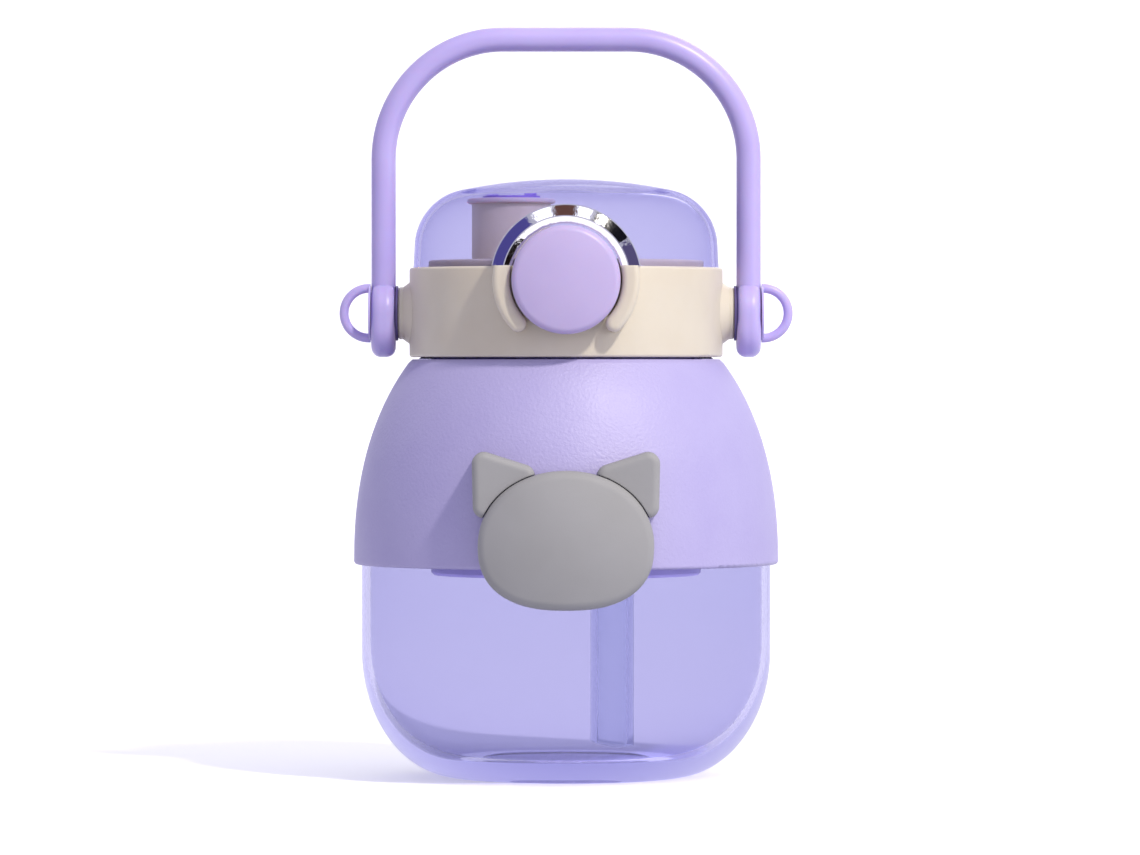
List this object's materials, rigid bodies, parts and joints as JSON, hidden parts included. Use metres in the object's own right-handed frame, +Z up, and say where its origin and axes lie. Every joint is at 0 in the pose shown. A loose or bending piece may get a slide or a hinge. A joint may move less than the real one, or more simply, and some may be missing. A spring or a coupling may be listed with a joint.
{
  "type": "kids water bottle",
  "caption": "Squat clear bottle with a matt shoulder sleeve, screw-on collar, push-button flip dome, straw spout, carrying bail and strap eyelets.",
  "frame": {"origin": "centre of the base ring that the bottle stands on", "axes": "+Z up along the bottle's axis, -Y is the front with the push button and badge, X is along the handle's pivots"},
  "size_m": [0.1042, 0.1058, 0.1723],
  "materials": {
    "clear_lilac": "clear tinted copolyester, polished",
    "sleeve_lilac": "fine matt texture",
    "badge_grey": "soft moulded rubber, matt",
    "badge_plate": "moulded",
    "spring_steel": "stamped",
    "seal_silicone": "silicone, satin",
    "cream_plastic": "satin moulded",
    "bright_chrome": "bright plated",
    "lilac_silicone": "silicone, satin",
    "clear_silicone": "silicone tube",
    "strainer_violet": "moulded",
    "washer_violet": "moulded",
    "lilac_plastic": "satin moulded",
    "dome_lilac": "translucent, polished",
    "latch_plastic": "moulded"
  },
  "bodies": {
    "bottle": {"bottle_shell": "clear_lilac", "shoulder_sleeve": "sleeve_lilac", "badge_head": "badge_grey", "badge_ear_left": "badge_grey", "badge_ear_right": "badge_grey", "badge_backplate": "badge_plate", "badge_retainer_left": "spring_steel", "badge_retainer_right": "spring_steel"},
    "seal": {"lid_seal": "seal_silicone"},
    "lid": {"lid_collar": "cream_plastic", "lid_deck": "cream_plastic", "button_bezel": "bright_chrome", "mouthpiece": "lilac_silicone", "straw": "clear_silicone", "strainer_basket": "strainer_violet", "vent_valve": "seal_silicone", "hinge_pin": "spring_steel", "hinge_spring": "spring_steel", "button_spring": "spring_steel", "pivot_washer_left": "washer_violet", "pivot_washer_right": "washer_violet", "strap_eyelet_left": "lilac_plastic", "strap_eyelet_right": "lilac_plastic"},
    "dome": {"dome_lid": "dome_lilac", "spout_stopper": "lilac_silicone"},
    "button": {"push_button": "lilac_plastic", "latch_hook": "latch_plastic"},
    "handle": {"handle_bail": "lilac_plastic"}
  },
  "joints": [
    {"name": "lid_lift", "type": "slide", "parent": "bottle", "child": "seal", "axis": [0, 0, 1], "range_m": [0, 0.00505]},
    {"name": "lid_turn", "type": "hinge", "parent": "seal", "child": "lid", "pos_m": [0, 0, 0.107], "axis": [0, 0, 1], "range_deg": [0, 450]},
    {"name": "dome_flip", "type": "hinge", "parent": "lid", "child": "dome", "pos_m": [0, 0.0376, 0.098], "axis": [-1, 0, 0], "range_deg": [0, 110]},
    {"name": "button_press", "type": "slide", "parent": "lid", "child": "button", "axis": [0, 1, 0], "range_m": [0, 0.0025], "stiffness_N_per_m": 800, "springref_m": -0.001, "deforming": ["button_spring"]},
    {"name": "handle_swing", "type": "hinge", "parent": "lid", "child": "handle", "pos_m": [0, 0, 0.1066], "axis": [1, 0, 0], "range_deg": [-75, 115]}
  ],
  "couplings": [
    {"joint": "lid_lift", "follows": "lid_turn", "m_per_rad": 0.00063662}
  ]
}
